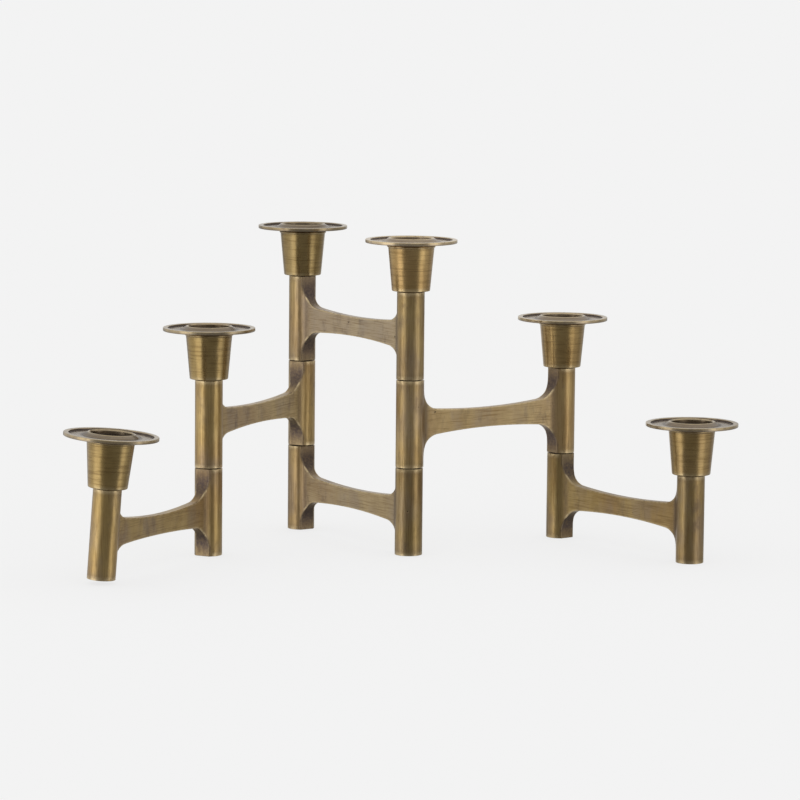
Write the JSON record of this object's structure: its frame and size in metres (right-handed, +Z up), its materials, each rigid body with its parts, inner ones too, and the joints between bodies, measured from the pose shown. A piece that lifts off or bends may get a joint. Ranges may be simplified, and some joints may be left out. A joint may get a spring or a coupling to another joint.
{
  "type": "tabletop candelabra",
  "caption": "Articulated tabletop candelabra: pivoting H-shaped cast links stacked on upright posts, each post topped by a candle cup with a round drip pan.",
  "frame": {"origin": "on the standing surface, below the middle of the bounding box", "axes": "+Z up; +X along the row of posts from the first to the sixth; -Y towards the viewer"},
  "size_m": [0.3566, 0.242, 0.1728],
  "materials": {
    "brass_link": "antique brushed",
    "brass_cup": "antique, turned",
    "steel": "plain",
    "nylon": "dark, matte"
  },
  "bodies": {
    "frame": {"link_3": "brass_link", "link_4": "brass_link", "tie_rod_3": "steel", "base_nut_3": "steel", "cup_washer_3": "nylon", "seam_washer_3_1": "nylon", "seam_washer_3_2": "nylon", "tie_rod_4": "steel", "base_nut_4": "steel", "cup_washer_4": "nylon", "seam_washer_4_1": "nylon", "seam_washer_4_2": "nylon"},
    "arm_2": {"link_2": "brass_link", "tie_rod_2": "steel", "base_nut_2": "steel", "cup_washer_2": "nylon", "seam_washer_2_1": "nylon"},
    "arm_1": {"link_1": "brass_link", "tie_rod_1": "steel", "base_nut_1": "steel", "cup_washer_1": "nylon"},
    "arm_5": {"link_5": "brass_link", "tie_rod_5": "steel", "base_nut_5": "steel", "cup_washer_5": "nylon", "seam_washer_5_1": "nylon"},
    "arm_6": {"link_6": "brass_link", "tie_rod_6": "steel", "base_nut_6": "steel", "cup_washer_6": "nylon"},
    "cup_1": {"candle_cup_1": "brass_cup"},
    "cup_2": {"candle_cup_2": "brass_cup"},
    "cup_3": {"candle_cup_3": "brass_cup"},
    "cup_4": {"candle_cup_4": "brass_cup"},
    "cup_5": {"candle_cup_5": "brass_cup"},
    "cup_6": {"candle_cup_6": "brass_cup"}
  },
  "joints": [
    {"name": "pivot_post_3", "type": "hinge", "parent": "frame", "child": "arm_2", "pos_m": [-0.05844, 0.09602, 0.07175], "axis": [0, 0, 1], "range_deg": [-120, 38]},
    {"name": "pivot_post_2", "type": "hinge", "parent": "arm_2", "child": "arm_1", "pos_m": [-0.10697, -0.00046, 0.02375], "axis": [0, 0, 1], "range_deg": [-150, 70]},
    {"name": "pivot_post_4", "type": "hinge", "parent": "frame", "child": "arm_5", "pos_m": [0.00164, 0.00627, 0.07175], "axis": [0, 0, 1], "range_deg": [-120, 64]},
    {"name": "pivot_post_5", "type": "hinge", "parent": "arm_5", "child": "arm_6", "pos_m": [0.08698, 0.07247, 0.02375], "axis": [0, 0, 1], "range_deg": [-68, 150]},
    {"name": "cup_screw_1", "type": "hinge", "parent": "arm_1", "child": "cup_1", "pos_m": [-0.15532, -0.09615, 0.0502], "axis": [0.0694, 0.001, 0.9976], "continuous": true},
    {"name": "cup_screw_2", "type": "hinge", "parent": "arm_2", "child": "cup_2", "pos_m": [-0.10697, -0.00046, 0.096], "axis": [0, 0, 1], "continuous": true},
    {"name": "cup_screw_3", "type": "hinge", "parent": "frame", "child": "cup_3", "pos_m": [-0.05844, 0.09602, 0.144], "axis": [0, 0, 1], "continuous": true},
    {"name": "cup_screw_4", "type": "hinge", "parent": "frame", "child": "cup_4", "pos_m": [0.00164, 0.00627, 0.144], "axis": [0, 0, 1], "continuous": true},
    {"name": "cup_screw_5", "type": "hinge", "parent": "arm_5", "child": "cup_5", "pos_m": [0.08698, 0.07247, 0.096], "axis": [0, 0, 1], "continuous": true},
    {"name": "cup_screw_6", "type": "hinge", "parent": "arm_6", "child": "cup_6", "pos_m": [0.15332, -0.01275, 0.048], "axis": [0, 0, 1], "continuous": true}
  ]
}
